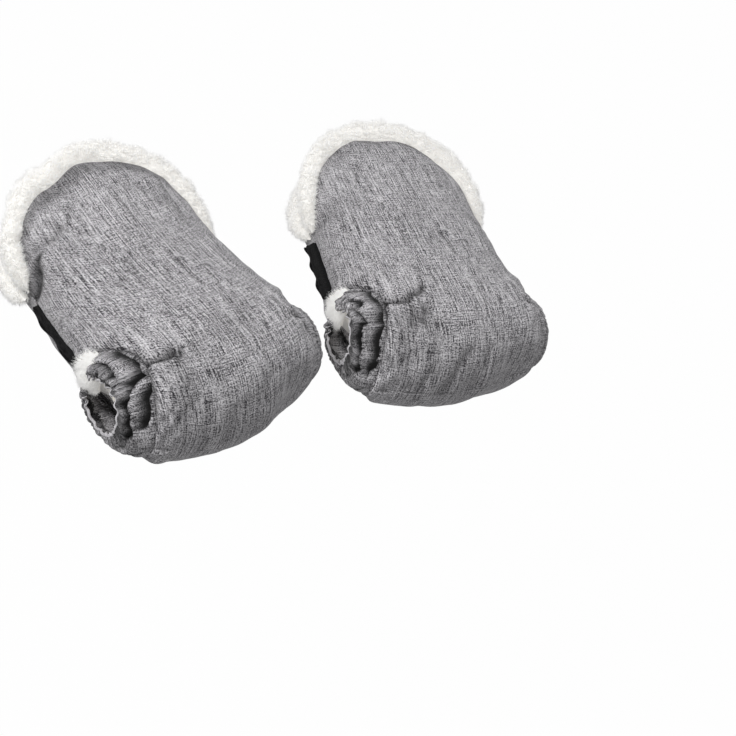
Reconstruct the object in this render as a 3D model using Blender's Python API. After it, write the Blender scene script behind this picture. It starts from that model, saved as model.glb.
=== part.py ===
"""A pair of lambskin-lined hand muffs, each closed round a passage for a grip 36 mm across.

Each muff is a pouch in two halves, front and back, that meet along a fold under the passage.
The front half opens about that fold like a clam, and hook-and-loop tapes at both sides close it.
Hands go in at the arched mouth. The passage ends at two outlets with gathered elastic collars.

The origin is midway between the muffs, on the line of both passages. +X runs along that line,
+Y points out of the mouths, and +Z is the side over the backs of the hands. Lengths are in
metres. A muff's own axes are across (along its passage), up (out of the mouth) and out (towards
the front half), with their origin in the middle of its passage.
"""

import math

import bmesh
import bpy
import numpy as np

# Place of the two muffs
muff_gap = 0.02665
muff_setback = 0.0145
muff_splay = math.radians(9.0)

# Pouch
grip_half_width = 0.097
cuff_half_width = 0.086
fold_drop = 0.068
front_depth = 0.056
back_depth = 0.053
mouth_depth = 0.036
cuff_corner = 0.122
cuff_apex = 0.216
fold_narrowing_share = 0.38
fold_rise_share = 0.35
crown_power = 2.6
fold_power = 2.2
arch_power = 2.2
taper_power = 1.3

# Layers
shell_wall = 0.003
lining_wall = 0.012
layer_gap = 0.0003
parting_gap = 0.0003

# Wool round the mouth
wool_reach = 0.020
wool_height = 0.024
wool_end_share = 0.6

# Passage, outlets and their gathered collars
passage_radius = 0.020
outlet_radius = 0.039
collar_stand = 0.007
collar_puff = 0.004
collar_seat_gap = 0.0005
collar_opening = math.radians(24.0)
gather_depth = 0.0016
gather_count = 9
binding_radius = 0.0016
tuft_height = 0.012
tuft_margin = math.radians(5.0)

# Hook-and-loop tapes
tape_width = 0.012
tape_thickness = 0.0018
tape_low = 0.047
tape_high = 0.107
tape_corner = 0.003

# Fineness of the meshes
across_steps = 14
fold_steps = 5
rise_steps = 9
wool_sides = 8
collar_steps = 24
collar_rings = 4
tuft_steps = 8
binding_steps = 14
binding_sides = 6
corner_steps = 3
cutter_sides = 32

cut_overrun = 0.030

# What follows from these
muff_reach = grip_half_width + collar_stand + layer_gap + 2 * binding_radius
muff_spread = muff_gap / 2 + muff_reach * math.cos(muff_splay)

FRONT, BACK = 1, -1


def clear_scene():
    for thing in list(bpy.data.objects):
        bpy.data.objects.remove(thing)


def principled(name, colour, roughness):
    """A plain Principled BSDF; colour is linear red, green and blue."""
    material = bpy.data.materials.new(name)
    material.use_nodes = True
    shader = material.node_tree.nodes["Principled BSDF"]
    shader.inputs["Base Color"].default_value = (*colour, 1.0)
    shader.inputs["Roughness"].default_value = roughness
    shader.inputs["Metallic"].default_value = 0.0
    material.diffuse_color = (*colour, 1.0)
    return material


def half_width(up):
    """Half the pouch's width: widest at the grip, narrower towards the mouth and the fold."""
    below = np.clip(-up / fold_drop, 0, 1)
    above = np.clip(up / cuff_corner, 0, 1)
    low = grip_half_width * (1 - fold_narrowing_share * below**fold_power)
    high = grip_half_width + (cuff_half_width - grip_half_width) * above
    return np.where(up < 0, low, high)


def depth_at(up, half):
    """Distance from the parting plane to the outside of a half, above the grip."""
    deepest = front_depth if half == FRONT else back_depth
    rise = np.clip(up / cuff_apex, 0, 1) ** taper_power
    return deepest + (mouth_depth - deepest) * rise


def crown(share):
    """Height of the crowned section, as a share of its depth, at a share of the half width."""
    return np.clip(1 - np.abs(share) ** crown_power, 0, 1) ** (1 / crown_power)


def arch_height(share):
    """How far up the arched mouth lies at a share of the half width."""
    bow = np.sqrt(np.clip(1 - np.abs(share) ** arch_power, 0, 1))
    return cuff_corner + (cuff_apex - cuff_corner) * bow


def across_shares():
    """Shares of the half width, drawn closer together towards the side edges."""
    turn = np.linspace(-math.pi / 2, math.pi / 2, across_steps + 1)
    return np.sign(turn) * np.abs(np.sin(turn)) ** (2 / crown_power)


def pouch_sheet(half, inset):
    """Grid of points on a half's surface, a distance of inset in from the outside.

    Columns run from side edge to side edge. Rows run from the fold round to the grip, as a
    superellipse quarter, and then up to the arched mouth.
    """
    share = across_shares()[:, None]
    turn = np.linspace(0, math.pi / 2, fold_steps + 1)[None, :]
    climb = np.linspace(0, 1, rise_steps + 1)[None, 1:]
    fold = (fold_drop - inset) * (1 - fold_rise_share * np.abs(share) ** 3)
    fold_up = -fold * np.cos(turn) ** (2 / fold_power)
    rise_up = arch_height(share) * climb
    grip_depth = depth_at(np.zeros(1), half) - inset
    fold_out = grip_depth * np.sin(turn) ** (2 / fold_power) + 0 * share
    rise_out = depth_at(rise_up, half) - inset
    up = np.concatenate([fold_up, rise_up], axis=1)
    out = np.concatenate([fold_out, rise_out], axis=1) * crown(share)
    across = share * (half_width(up) - inset)
    return np.stack([across, up, half * (out + parting_gap / 2)], axis=-1)


def side_reach(up, out, half, inset):
    """How far across a half's surface lies at a place beside the grip."""
    rounded = np.clip(-up / (fold_drop - inset), 0, 1)
    below = (1 - rounded**fold_power) ** (1 / fold_power)
    depth = (depth_at(up, half) - inset) * np.where(up < 0, below, 1)
    share = np.clip(1 - np.clip(np.abs(out) / depth, 0, 1) ** crown_power, 0, 1)
    return (half_width(up) - inset) * share ** (1 / crown_power)


def close_grids(top, bottom):
    """Vertices and faces of the closed body between two grids of the same shape.

    Cells are cut along one diagonal in the first half of the rows and along the other in the
    second half, so that nested layers keep their gap and a symmetrical shape stays so.
    """
    rows, columns = top.shape[:2]
    index = np.arange(rows * columns).reshape(rows, columns)
    low = index + rows * columns
    faces = []
    for grid in (index, low):
        for strip in (grid[: rows // 2 + 1], grid[: rows // 2 - 1 : -1]):
            first, second = strip[:-1, :-1], strip[1:, :-1]
            third, fourth = strip[1:, 1:], strip[:-1, 1:]
            faces.append(np.stack([first, second, third], axis=-1).reshape(-1, 3))
            faces.append(np.stack([first, third, fourth], axis=-1).reshape(-1, 3))
    rim = np.concatenate([index[:, 0], index[-1, 1:], index[-2::-1, -1], index[0, -2:0:-1]])
    after = np.roll(rim, -1)
    faces.append(np.stack([rim, after, after + rows * columns], axis=-1))
    faces.append(np.stack([rim, after + rows * columns, rim + rows * columns], axis=-1))
    points = np.concatenate([top.reshape(-1, 3), bottom.reshape(-1, 3)])
    return points, np.concatenate(faces)


def tube(rings):
    """Vertices and faces of a tube through rings of points, with a flat cap at each end."""
    count, sides = rings.shape[:2]
    index = np.arange(count * sides).reshape(count, sides)
    after = np.roll(index, -1, axis=1)
    quads = np.stack([index[:-1], after[:-1], after[1:], index[1:]], axis=-1).reshape(-1, 4)
    faces = [tuple(quad) for quad in quads.tolist()]
    faces += [tuple(index[0].tolist()), tuple(index[-1].tolist())]
    return rings.reshape(-1, 3), faces


def add_solid(name, points, faces, parent, material):
    """A mesh object under parent whose faces point out; points are in the muff's own axes."""
    mesh = bpy.data.meshes.new(name)
    origin = np.array(parent.get("muff_origin", (0, 0, 0)))
    faces = faces.tolist() if isinstance(faces, np.ndarray) else faces
    mesh.from_pydata((points - origin).tolist(), [], faces)
    shape = bmesh.new()
    shape.from_mesh(mesh)
    bmesh.ops.recalc_face_normals(shape, faces=shape.faces)
    if shape.calc_volume(signed=True) < 0:
        bmesh.ops.reverse_faces(shape, faces=shape.faces)
    shape.to_mesh(mesh)
    shape.free()
    mesh.materials.append(material)
    mesh.shade_smooth()
    solid = bpy.data.objects.new(name, mesh)
    solid.parent = parent
    bpy.context.scene.collection.objects.link(solid)
    return solid


def add_empty(name, parent=None, place=(0, 0, 0), turn=0.0):
    empty = bpy.data.objects.new(name, None)
    empty.parent = parent
    empty.location = place
    empty.rotation_euler = (0, 0, turn)
    bpy.context.scene.collection.objects.link(empty)
    return empty


def add_hinge(name, muff):
    """An empty on the fold's line, under which the front half's pieces hang."""
    hinge = add_empty(name, muff, (0, -fold_drop, 0))
    hinge["muff_origin"] = (0.0, -fold_drop, 0.0)
    return hinge


def add_outlet_cutter(name, muff, radius):
    """Cylinders along the passage, one through each side wall; their flats touch the radius."""
    angle = np.linspace(0, 2 * math.pi, cutter_sides, endpoint=False)
    corner = radius / math.cos(math.pi / cutter_sides)
    up, out = corner * np.cos(angle), corner * np.sin(angle)
    reach = grip_half_width + collar_stand + cut_overrun
    cutters = []
    for end, side in (("low", -1), ("high", 1)):
        places = (side * grip_half_width / 2, side * reach)
        rings = np.array([np.stack([0 * angle + across, up, out], -1) for across in places])
        cutter = add_solid(f"{name}_{end}", *tube(rings), muff, materials["cutter"])
        cutter.hide_render = True
        cutter.display_type = "WIRE"
        cutters.append(cutter)
    return cutters


def cut(solid, cutters):
    for cutter in cutters:
        boolean = solid.modifiers.new("outlet", "BOOLEAN")
        boolean.operation = "DIFFERENCE"
        boolean.solver = "EXACT"
        boolean.object = cutter


def half_name(half):
    return "front" if half == FRONT else "back"


def add_panel(name, half, parent, near, far, material, cutters):
    """A layer of one half, between two insets, with the outlets cut from its sides."""
    body = close_grids(pouch_sheet(half, near), pouch_sheet(half, far))
    cut(add_solid(name, *body, parent, material), cutters)


def add_cuff_wool(name, half, parent, material):
    """Roll of wool along the arched mouth: an ellipse carried round the shell's edge."""
    edge = pouch_sheet(half, 0)[:, -1]
    share = across_shares()
    along = np.gradient(edge[:, :2], axis=0)
    along[0], along[-1] = (0, 1), (0, -1)
    along /= np.linalg.norm(along, axis=1)[:, None]
    outward = np.stack([-along[:, 1], along[:, 0]], axis=-1)
    size = wool_end_share + (1 - wool_end_share) * crown(share)
    half_reach = wool_reach / 2 * size
    half_height = wool_height / 2 * size
    rim = shell_wall + layer_gap + lining_wall
    height = half_height + crown(share) * (mouth_depth - rim / 2 - wool_height / 2)
    centre = edge[:, :2] + outward * (half_reach + layer_gap)[:, None]
    rings = []
    for angle in np.arange(wool_sides) * 2 * math.pi / wool_sides:
        plan = centre + outward * (half_reach * math.cos(angle))[:, None]
        out = half * (parting_gap / 2 + height + half_height * math.sin(angle))
        rings.append(np.column_stack([plan, out]))
    return add_solid(name, *tube(np.stack(rings, axis=1)), parent, material)


def collar_grid(half, side, angles, inner, outer, inset, lift):
    """Points over the side wall round an outlet, at radii between inner and outer.

    Each lies on the surface at the given inset, moved outwards along the passage by lift, which
    is an array of the same shape or a length.
    """
    radius = np.linspace(outer, inner, collar_rings + 1)[None, :]
    up = radius * np.cos(angles)[:, None]
    out = radius * np.sin(angles)[:, None]
    return up, out, side_reach(up, out, half, inset) + lift


def add_collar(name, half, side, parent, material):
    """Gathered half ring: it seats on the lining, swells, and draws in to the elastic edge."""
    angles = np.linspace(collar_opening, math.pi, collar_steps + 1)
    seat = shell_wall + layer_gap
    ring = (angles, passage_radius, outlet_radius)
    up, out, low = collar_grid(half, side, *ring, seat, collar_seat_gap)
    across_edge = side_reach(up[:, :1], out[:, :1], half, 0)
    inward = np.linspace(0, 1, collar_rings + 1)[None, :]
    swell = np.sin(math.pi * inward)
    top = across_edge + (grip_half_width + collar_stand - across_edge) * inward
    top += collar_puff * swell
    top += gather_depth * swell * np.cos(2 * gather_count * angles)[:, None]
    outward = half * (out + parting_gap / 2)
    upper = np.stack([side * top, up, outward], axis=-1)
    lower = np.stack([side * low, up, outward], axis=-1)
    return add_solid(name, *close_grids(upper, lower), parent, material)


def add_tuft(name, side, parent, material):
    """Wool that stands out between the ends of the two half collars, over the passage."""
    reach = collar_opening - tuft_margin
    angles = np.linspace(-reach, reach, tuft_steps + 1)
    ring = (angles, passage_radius + layer_gap, outlet_radius - layer_gap)
    seat = shell_wall + layer_gap
    up, out, low = collar_grid(BACK, side, *ring, seat, collar_seat_gap)
    _, _, low_front = collar_grid(FRONT, side, *ring, seat, collar_seat_gap)
    low = np.maximum(low, low_front)
    inward = np.linspace(0, 1, collar_rings + 1)[None, :]
    swell = np.sin(math.pi * (1 + 2 * inward) / 4) * crown(angles / (reach * 2))[:, None]
    upper = np.stack([side * (low + tuft_height * swell), up, out], axis=-1)
    lower = np.stack([side * low, up, out], axis=-1)
    return add_solid(name, *close_grids(upper, lower), parent, material)


def add_binding(name, half, side, parent, material):
    """Elastic binding: a thin cord round the inner edge of a half collar's face."""
    angles = np.linspace(collar_opening, math.pi, binding_steps + 1)
    middle = passage_radius + binding_radius
    across = grip_half_width + collar_stand + layer_gap + binding_radius
    rings = []
    for angle in np.arange(binding_sides) * 2 * math.pi / binding_sides:
        radius = middle + binding_radius * math.cos(angle)
        place = side * (across + binding_radius * math.sin(angle))
        out = half * (radius * np.sin(angles) + parting_gap / 2)
        rings.append(np.stack([0 * angles + place, radius * np.cos(angles), out], axis=-1))
    return add_solid(name, *tube(np.stack(rings, axis=1)), parent, material)


def add_tape(name, half, side, parent, material):
    """Strip of tape along the side edge, with rounded free corners, thick along out."""
    corners = (
        (tape_width - tape_corner, tape_low + tape_corner, -math.pi / 2),
        (tape_width - tape_corner, tape_high - tape_corner, 0.0),
    )
    outline = [(layer_gap, tape_low)]
    for across, up, start in corners:
        for step in range(corner_steps + 1):
            angle = start + math.pi / 2 * step / corner_steps
            place = across + tape_corner * math.cos(angle), up + tape_corner * math.sin(angle)
            outline.append(place)
    outline.append((layer_gap, tape_high))
    outline = np.array(outline)
    edge = half_width(outline[:, 1])
    rings = []
    for out in (parting_gap / 2, parting_gap / 2 + tape_thickness):
        across = side * (edge + outline[:, 0])
        rings.append(np.column_stack([across, outline[:, 1], 0 * across + half * out]))
    return add_solid(name, *tube(np.array(rings)), parent, material)


def add_muff(prefix, hand):
    """One muff; hand is -1 for the left one and 1 for the right one."""
    place = (hand * muff_spread, -muff_setback, 0)
    muff = add_empty(f"{prefix}_muff", None, place, -hand * muff_splay)
    hinge = add_hinge(f"{prefix}_fold_hinge", muff)
    shell_cutters = add_outlet_cutter(f"{prefix}_shell_cutter", muff, outlet_radius + layer_gap)
    lining_cutters = add_outlet_cutter(f"{prefix}_lining_cutter", muff, passage_radius)
    lining_near = shell_wall + layer_gap
    lining_far = lining_near + lining_wall
    ends = (("outer", hand), ("inner", -hand))
    for half, parent in ((FRONT, hinge), (BACK, muff)):
        start = f"{prefix}_{half_name(half)}"
        add_panel(f"{start}_shell", half, parent, 0, shell_wall, materials["shell"], shell_cutters)
        add_panel(f"{start}_lining", half, parent, lining_near, lining_far, materials["lambskin"],
                  lining_cutters)
        add_cuff_wool(f"{start}_cuff_wool", half, parent, materials["lambskin"])
        tape, tape_material = ("hook", "hook_tape") if half == FRONT else ("loop", "loop_tape")
        for end, side in ends:
            add_collar(f"{start}_{end}_collar", half, side, parent, materials["collar"])
            add_binding(f"{start}_{end}_binding", half, side, parent, materials["binding"])
            add_tape(f"{prefix}_{end}_{tape}_tape", half, side, parent, materials[tape_material])
    for end, side in ends:
        add_tuft(f"{prefix}_{end}_outlet_wool", side, muff, materials["lambskin"])


clear_scene()
materials = {
    "shell": principled("melange_polyester", (0.30, 0.29, 0.30), 0.9),
    "collar": principled("melange_polyester_gathered", (0.26, 0.255, 0.26), 0.9),
    "lambskin": principled("lambskin", (0.85, 0.82, 0.75), 0.95),
    "binding": principled("elastic_binding", (0.20, 0.20, 0.21), 0.8),
    "hook_tape": principled("nylon_hook_tape", (0.012, 0.012, 0.012), 0.45),
    "loop_tape": principled("nylon_loop_tape", (0.015, 0.015, 0.015), 0.85),
    "cutter": principled("cutter", (1.0, 0.2, 0.1), 0.5),
}
add_muff("left", -1)
add_muff("right", 1)
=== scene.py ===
import math

import bpy
import numpy as np
from mathutils import Matrix, Vector


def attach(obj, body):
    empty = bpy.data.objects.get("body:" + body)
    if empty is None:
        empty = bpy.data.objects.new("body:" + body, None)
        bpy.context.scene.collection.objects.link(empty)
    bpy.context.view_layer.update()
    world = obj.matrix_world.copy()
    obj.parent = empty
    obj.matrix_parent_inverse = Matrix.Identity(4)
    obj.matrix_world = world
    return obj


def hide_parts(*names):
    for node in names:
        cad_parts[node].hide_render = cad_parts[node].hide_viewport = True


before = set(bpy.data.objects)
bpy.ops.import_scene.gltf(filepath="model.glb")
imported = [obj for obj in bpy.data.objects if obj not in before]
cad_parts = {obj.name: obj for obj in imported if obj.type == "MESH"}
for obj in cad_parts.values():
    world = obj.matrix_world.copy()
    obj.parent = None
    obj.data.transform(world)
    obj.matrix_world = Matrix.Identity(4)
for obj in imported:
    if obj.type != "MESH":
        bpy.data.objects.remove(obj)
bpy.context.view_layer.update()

# Shells
# Melange polyester, woven from grey and white yarns, is sewn over each half. Tucks beside the
# outlets take in its fullness, and its edge rolls over to the seam round the mouth.

hands = {"left": -1, "right": 1}
halves = {"front": 1, "back": -1}
bodies = [
    (f"{prefix}_{side}", hand, half)
    for prefix, hand in hands.items()
    for side, half in halves.items()
]

passage_radius = 0.02
grip_half_width = 0.097
cuff_half_width = 0.086
fold_drop = 0.068
deepest = {1: 0.056, -1: 0.053}
mouth_depth = 0.036
cuff_corner = 0.122
cuff_apex = 0.216
crown_power, fold_power, arch_power, taper_power = 2.6, 2.2, 2.2, 1.3
fold_narrowing_share, fold_rise_share, fold_rise_power = 0.38, 0.35, 3
muff_spread, muff_setback, muff_splay = 0.1195, 0.0145, math.radians(9.0)

# how its weight draws the left and the right muff, and where: starts and runs are shares of the
# fold's drop or of the mouth's height
fold_lift = {-1: 0.012, 1: 0.009}
lift_start, lift_run, least_lift = 0.45, 0.5, 0.25
fold_draw = 0.008
fold_sag = {-1: 0.009, 1: 0.019}
sag_start, sag_run = 0.15, 0.65
mouth_lean = {-1: 0.0095, 1: 0.001}
apex_hold, apex_start, apex_run = 0.7, 0.55, 0.45
waist_draw = {-1: -0.0055, 1: 0.0085}
waist_height, waist_spread = 0.065, 0.04
cheek_draw = {-1: 0.0085, 1: 0.0035}
cheek_height, cheek_spread = 0.155, 0.035
shoulder_cut = {-1: 0.0095, 1: 0.0025}
shoulder_share, shoulder_spread = -0.34, 0.22
cut_start, cut_run = 0.6, 0.3

outlet_radius = 0.0395
shell_inset = 0.0008
shell_steps = (72, 20, 62)
cloth_thickness = 0.0011
seam_depth = 0.007
seam_width = 0.0042
# how much shade is painted into the seam's groove round each outlet
seam_painted_shade = 0.9
lip_height, lip_place, lip_width = 0.0026, 0.007, 0.006
pucker_height, pucker_count = 0.0008, 9
swell, swell_wavelength = 0.0012, 0.06
wrinkle, wrinkle_wavelength = 0.0004, 0.022
side_hold = 0.004
# the mouth's rolled edge and the shade painted on it, and a band of painted shade along the hem,
# stronger on the left muff
mouth_roll, mouth_roll_width = 0.002, 0.013
roll_wavelength, roll_painted_shade = 0.05, 0.35
hem_width = 0.016
hem_painted_shade = {"left": 0.36, "right": 0.12}

# a crease's sway and the ridges beside it, as shares of its width or its depth, and the depth in
# metres from which the shade painted in its groove is darkest
crease_sway, crease_turns = 0.5, 2.2
ridge_place, ridge_width, ridge_above, ridge_below = 2.3, 1.7, 0.3, 0.5
darkest_depth = 0.005
# in millimetres, across and up at both ends of a crease, then its width and its depth; on a
# collar the place is measured round the passage and from the seam
# Each groove also paints shade into the cloth's colour. The last three rows of left_front and the last
# two of right_front are broad, shallow dimples that paint soft patches of shade.
creases = {
    "left_front": (
        (-82, -4, -54, -7, 2.2, 4.8),
        (-56, -6, -50, -8, 5, 4),
        (83, 0, 67, -3, 2.4, 3.6),
        (-76, 135, -87, 112, 3.2, 4.6),
        (-62, 70, -36, 80, 7, 1.6),
        (-85, 137, -52, 148, 4.8, 2.6),
        (58, 162, 56, 120, 7, 1.8),
        (-28, -66, 20, -50, 6, 1.6),
        (30, 176, 52, 150, 6, 1.2),
        (-54, -16, -56, -45, 10, 2.4),
        (-30, -10, -26, -34, 13, 1.8),
        (2, 0, 26, 10, 15, 1.8),
    ),
    "right_front": (
        (-80, -1, -56, -5, 2.2, 4.6),
        (-56, -5, -38, 9, 3.4, 4.2),
        (-57, -23, -45, -19, 7, 3.6),
        (84, 0, 66, -5, 2.4, 4),
        (-5, -52, -30, -68, 4, 2.4),
        (-34, -60, -56, -58, 3.4, 2.2),
        (16, -53, 8, -68, 4.6, 1.6),
        (82, 98, 60, 108, 5, 1.8),
        (-70, 130, -84, 116, 5, 2),
        (-30, 60, 10, 75, 8, 1.2),
        (-66, -22, -62, -46, 8, 2.4),
        (-36, -28, -44, -48, 11, 2.1),
    ),
    "left_front_outer": (
        (15, 14, 44, 19, 2.4, 10),
        (28, 5, 53, 8, 2.2, 8.5),
        (52, 8.5, 70, 23, 3, 10),
        (17, 25, 30, 29, 1.6, 5),
        (32, 24, 50, 30, 1.8, 6),
        (62, 4.5, 79, 11, 2.2, 8.5),
        (72, 19, 90, 22.5, 2, 8),
    ),
    "right_front_inner": (
        (15, 13, 27, 6, 2.2, 8),
        (31, 5.5, 59, 7, 2.2, 8.5),
        (26, 18, 44, 14, 1.8, 6),
        (45, 20, 59, 15, 1.8, 6),
        (62, 6, 86, 11, 2, 6),
        (60, 19, 89, 20, 1.8, 5),
    ),
}


def half_width(up):
    """Half the pouch's width: a power curve below the grip, a straight taper above it."""
    below = np.clip(-up / fold_drop, 0, 1)
    above = np.clip(up / cuff_corner, 0, 1)
    low = grip_half_width * (1 - fold_narrowing_share * below**fold_power)
    high = grip_half_width + (cuff_half_width - grip_half_width) * above
    return np.where(up < 0, low, high)


def depth_at(up, half):
    """Depth of a half over the grip, falling to the mouth's depth as a power of the height."""
    rise = np.clip(up / cuff_apex, 0, 1) ** taper_power
    return deepest[half] + (mouth_depth - deepest[half]) * rise


def crown(share):
    """Superellipse: the share of the full depth left at a share of the half width."""
    return np.clip(1 - np.abs(share) ** crown_power, 0, 1) ** (1 / crown_power)


def arch_height(share):
    """Height of the mouth's edge: a flattened half ellipse standing on the corners."""
    bow = np.sqrt(np.clip(1 - np.abs(share) ** arch_power, 0, 1))
    return cuff_corner + (cuff_apex - cuff_corner) * bow


def across_shares(steps):
    """Shares of the half width, a power of a sine, which draws them closer at the sides."""
    turn = np.linspace(-math.pi / 2, math.pi / 2, steps + 1)
    return np.sign(turn) * np.abs(np.sin(turn)) ** (2 / crown_power)


def pouch_sheet(half, inset, steps, fold_steps, rise_steps):
    """A half's surface: a quarter superellipse from the fold to the grip, then a rise to the arch.

    Every depth is multiplied by the crown at its share of the half width.
    """
    share = across_shares(steps)[:, None]
    turn = np.linspace(0, math.pi / 2, fold_steps + 1)[None, :]
    climb = np.linspace(0, 1, rise_steps + 1)[None, 1:]
    fold = (fold_drop - inset) * (1 - fold_rise_share * np.abs(share) ** fold_rise_power)
    rise_up = arch_height(share) * climb
    up = np.concatenate([-fold * np.cos(turn) ** (2 / fold_power), rise_up], axis=1)
    fold_out = (deepest[half] - inset) * np.sin(turn) ** (2 / fold_power) + 0 * share
    out = np.concatenate([fold_out, depth_at(rise_up, half) - inset], axis=1) * crown(share)
    return np.stack([share * (half_width(up) - inset), up, half * out], axis=-1)


def side_reach(up, out, half, inset):
    """How far across the surface lies beside the grip: the crown's superellipse turned round."""
    rounded = np.clip(-up / (fold_drop - inset), 0, 1)
    below = (1 - rounded**fold_power) ** (1 / fold_power)
    depth = (depth_at(up, half) - inset) * np.where(up < 0, below, 1)
    share = np.clip(1 - np.clip(np.abs(out) / np.maximum(depth, 0.001), 0, 1) ** crown_power, 0, 1)
    return (half_width(up) - inset) * share ** (1 / crown_power)


def ripple(points, wavelength, seed, waves=16):
    """Smooth noise near -1 to 1: a mean of plane waves with random directions and phases."""
    draw = np.random.default_rng(seed)
    total = np.zeros(points.shape[:-1])
    for _ in range(waves):
        direction = draw.normal(size=points.shape[-1])
        direction *= 2 * math.pi / wavelength * draw.uniform(0.7, 1.4) / np.linalg.norm(direction)
        total += np.sin(points @ direction + draw.uniform(0, 2 * math.pi))
    return total * math.sqrt(2 / waves) / 1.5


def smooth_step(value):
    """Ramp from 0 to 1 with flat ends: three squares less two cubes."""
    value = np.clip(value, 0, 1)
    return value * value * (3 - 2 * value)


def hill(distance, width):
    """Gaussian: 1 at no distance, 0.37 at the width."""
    return np.exp(-((distance / width) ** 2))


def grid_faces(rows, columns):
    """Quads between the neighbours of a grid numbered row by row."""
    index = np.arange(rows * columns).reshape(rows, columns)
    quads = np.stack([index[:-1, :-1], index[1:, :-1], index[1:, 1:], index[:-1, 1:]], axis=-1)
    return quads.reshape(-1, 4)


def hung(points, hand):
    """Points of a muff as its weight draws it: the fold sags to the left, the mouth leans there.

    Low on the fold a point is lifted, most on the right, where it is also drawn in. On the left
    the fold sags down and outwards. Above the grip all moves to the left, least at the apex. The
    right side moves by the waist's draw, the left side out by the cheek's just below the mouth,
    and the arch's left shoulder down by its cut.
    """
    across, up, sag = points[..., 0], points[..., 1], fold_sag[hand]
    share = across / grip_half_width
    right, left = np.clip(share, 0, 1), np.clip(-share, 0, 1)
    low = smooth_step((-up - lift_start * fold_drop) / (lift_run * fold_drop))
    sagging = smooth_step((-up - sag_start * fold_drop) / (sag_run * fold_drop))
    rise = np.clip(up / cuff_apex, 0, 1)
    held = 1 - apex_hold * smooth_step((rise - apex_start) / apex_run)
    lean = mouth_lean[hand] * smooth_step(2 * rise) * held
    waist = waist_draw[hand] * right**2 * hill(up - waist_height, waist_spread)
    cheek = cheek_draw[hand] * left**2 * hill(up - cheek_height, cheek_spread)
    across = across - fold_draw * right * low - sag / 2 * left * sagging - lean - waist - cheek
    cut = shoulder_cut[hand] * hill(share - shoulder_share, shoulder_spread)
    cut = cut * smooth_step((rise - cut_start) / cut_run)
    up = up + low * fold_lift[hand] * (least_lift + right) - sag * left * sagging - cut
    return np.stack([across, up, points[..., 2]], axis=-1)


def placed(points, hand):
    """Points of a muff's own axes, hung, turned about Z by its splay and moved to its place."""
    points = hung(points, hand)
    turn = -hand * muff_splay
    x = points[..., 0] * math.cos(turn) - points[..., 1] * math.sin(turn)
    y = points[..., 0] * math.sin(turn) + points[..., 1] * math.cos(turn)
    moved = np.stack([x, y, points[..., 2]], axis=-1)
    return moved + np.array([hand * muff_spread, -muff_setback, 0])


def add_mesh(name, points, faces, material=None, weave=None, crease=None):
    """A mesh object from arrays of points and faces, without the points that no face uses.

    weave is each point's place on the flat cloth in metres, kept as a UV map. crease is the shade
    painted into a point's colour: how deep it lies in a fold or in the wool, from 0 to 1, and below
    0 a painted highlight on a crest, kept as an attribute.
    """
    shape = faces.shape
    used, faces = np.unique(faces, return_inverse=True)
    faces = faces.reshape(shape)
    mesh = bpy.data.meshes.new(name)
    mesh.vertices.add(len(used))
    mesh.vertices.foreach_set("co", points.reshape(-1, 3)[used].ravel())
    mesh.loops.add(faces.size)
    mesh.loops.foreach_set("vertex_index", faces.ravel())
    mesh.polygons.add(len(faces))
    mesh.polygons.foreach_set("loop_start", np.arange(0, faces.size, shape[1]))
    mesh.update(calc_edges=True)
    if weave is not None:
        flat = weave.reshape(-1, 2)[used][faces.ravel()]
        mesh.uv_layers.new(name="weave").data.foreach_set("uv", flat.ravel())
    if crease is not None:
        mesh.attributes.new("crease", "FLOAT", "POINT").data.foreach_set("value", crease.ravel()[used])
    mesh.validate()
    mesh.shade_smooth()
    if material is not None:
        mesh.materials.append(material)
    piece = bpy.data.objects.new(name, mesh)
    bpy.context.scene.collection.objects.link(piece)
    return piece


def hex_colour(text):
    """sRGB hex to linear red, green, blue and alpha, by the sRGB curve."""
    parts = [int(text[i : i + 2], 16) / 255 for i in (1, 3, 5)]
    curve = [p / 12.92 if p <= 0.04045 else ((p + 0.055) / 1.055) ** 2.4 for p in parts]
    return (*curve, 1.0)


def connect(owner, node, links):
    """Links a node's inputs to outputs, or sets them where links gives a value."""
    for key, value in links.items():
        if isinstance(value, bpy.types.NodeSocket):
            owner.node_tree.links.new(value, node.inputs[key])
        else:
            node.inputs[key].default_value = value


def add_node(owner, kind, links=None, **settings):
    """Adds a shader node of a kind, with its links, and its properties from settings."""
    node = owner.node_tree.nodes.new("ShaderNode" + kind)
    for key, value in settings.items():
        setattr(node, key, value)
    connect(owner, node, links or {})
    return node


def new_material(name):
    """A material of that name and its Principled shader."""
    material = bpy.data.materials.new(name)
    material.use_nodes = True
    return material, material.node_tree.nodes["Principled BSDF"]


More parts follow.
